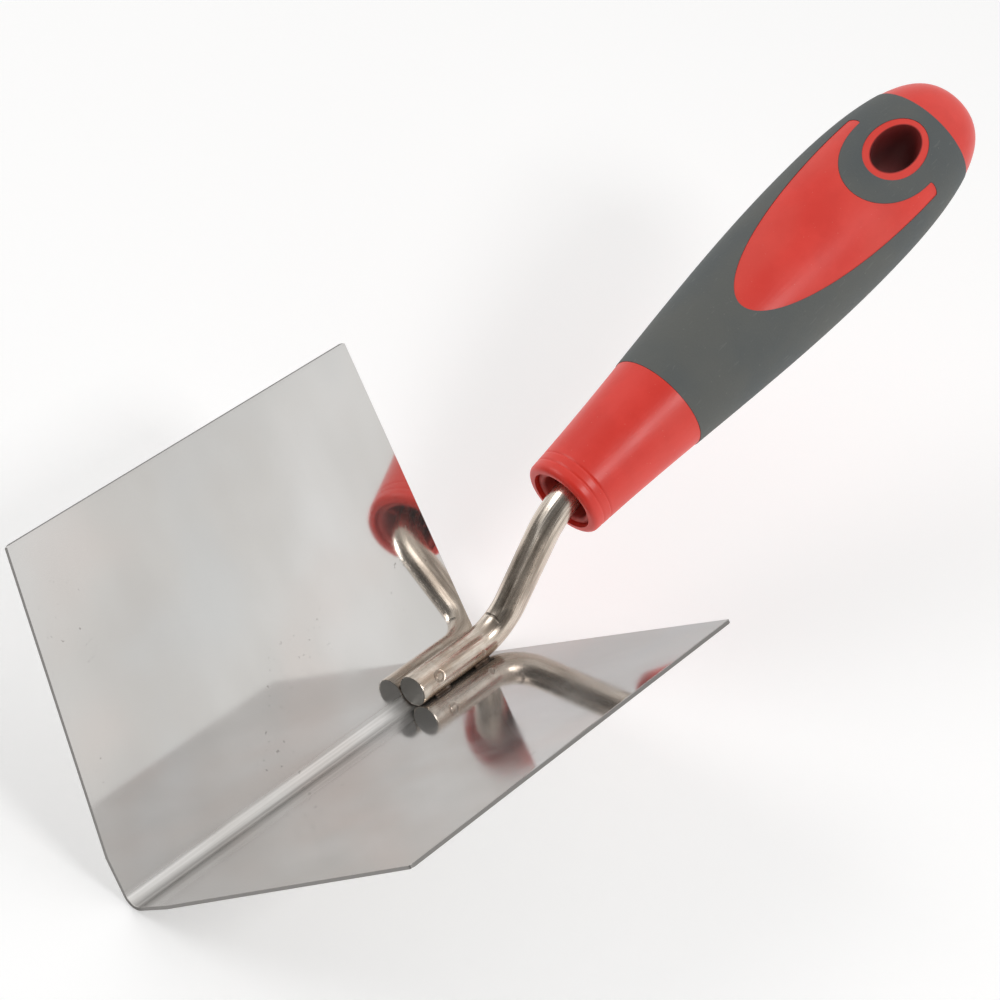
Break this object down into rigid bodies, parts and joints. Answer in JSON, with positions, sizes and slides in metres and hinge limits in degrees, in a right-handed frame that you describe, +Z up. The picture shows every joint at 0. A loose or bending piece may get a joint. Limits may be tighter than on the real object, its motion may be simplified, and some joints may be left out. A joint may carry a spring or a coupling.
{
  "type": "inside corner trowel",
  "caption": "Hand tool for inside corners: a folded right-angle polished steel blade, a cranked round shank welded in its fold, and a red and grey soft-grip handle.",
  "frame": {"origin": "the theoretical sharp corner at the nose, where the planes of the two outer faces and the lines of the two raked front edges meet; the fold is rounded and its front is cut square 1.9 mm behind it", "axes": "+X back along the fold from the nose to the handle, +Z up midway between the two wings, +Y towards the wing that is on the left when looking along +X from the nose with +Z up"},
  "size_m": [0.2503, 0.106, 0.0916],
  "materials": {
    "polished_steel": "mirror polished stainless sheet with fine smears and scratches",
    "bar_steel": "polished stainless bar, drawn lines along it, brown heat tint by the welds",
    "weld_metal": "dark heat-tinted weld metal",
    "red_plastic": "moulded hard plastic, satin gloss",
    "liner_plastic": "paler moulded plastic, satin",
    "grey_rubber": "matt overmoulded soft rubber"
  },
  "bodies": {
    "root": {"blade": "polished_steel", "shank": "bar_steel", "welds": "weld_metal", "handle_core": "red_plastic", "liner_tube": "liner_plastic", "grip_sleeve": "grey_rubber"}
  },
  "joints": []
}
